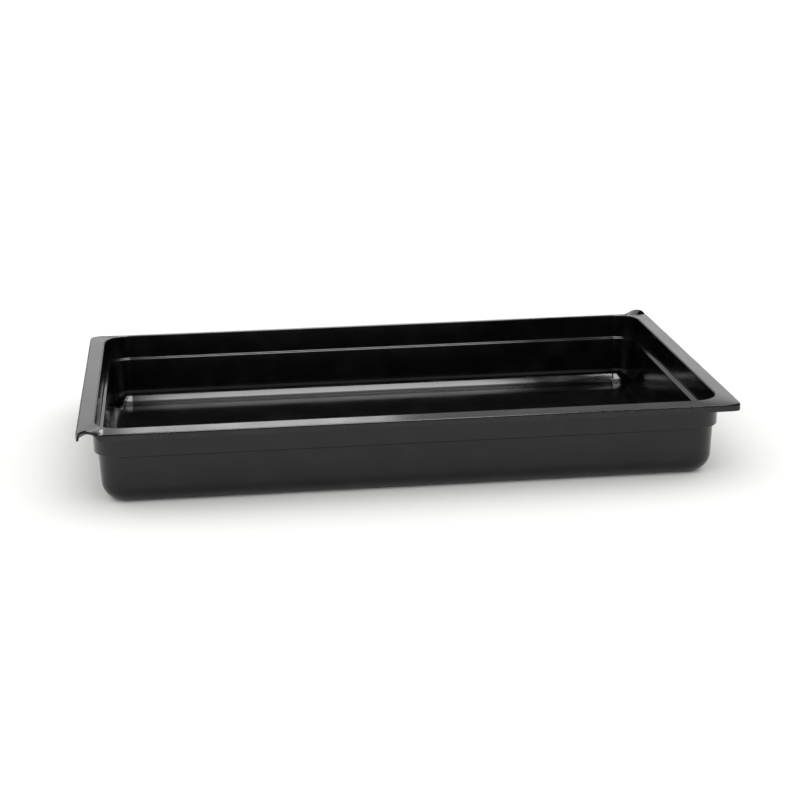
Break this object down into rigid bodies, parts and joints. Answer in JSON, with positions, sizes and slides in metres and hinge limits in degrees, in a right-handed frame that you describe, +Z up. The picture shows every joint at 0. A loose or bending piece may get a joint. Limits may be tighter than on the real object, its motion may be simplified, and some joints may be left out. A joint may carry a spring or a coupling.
{
  "type": "food pan",
  "caption": "Full-size shallow deli food pan, black glossy plastic tray with flanged rim, stacking ledge and coved floor, for chilled or hot wells.",
  "frame": {"origin": "centre of the flat base, on the surface that the pan stands on", "axes": "+X along the pan's length, +Y across its width, +Z up through the open mouth"},
  "size_m": [0.53, 0.325, 0.0671],
  "materials": {
    "polycarbonate": "high gloss"
  },
  "bodies": {
    "root": {"pan": "polycarbonate"}
  },
  "joints": []
}
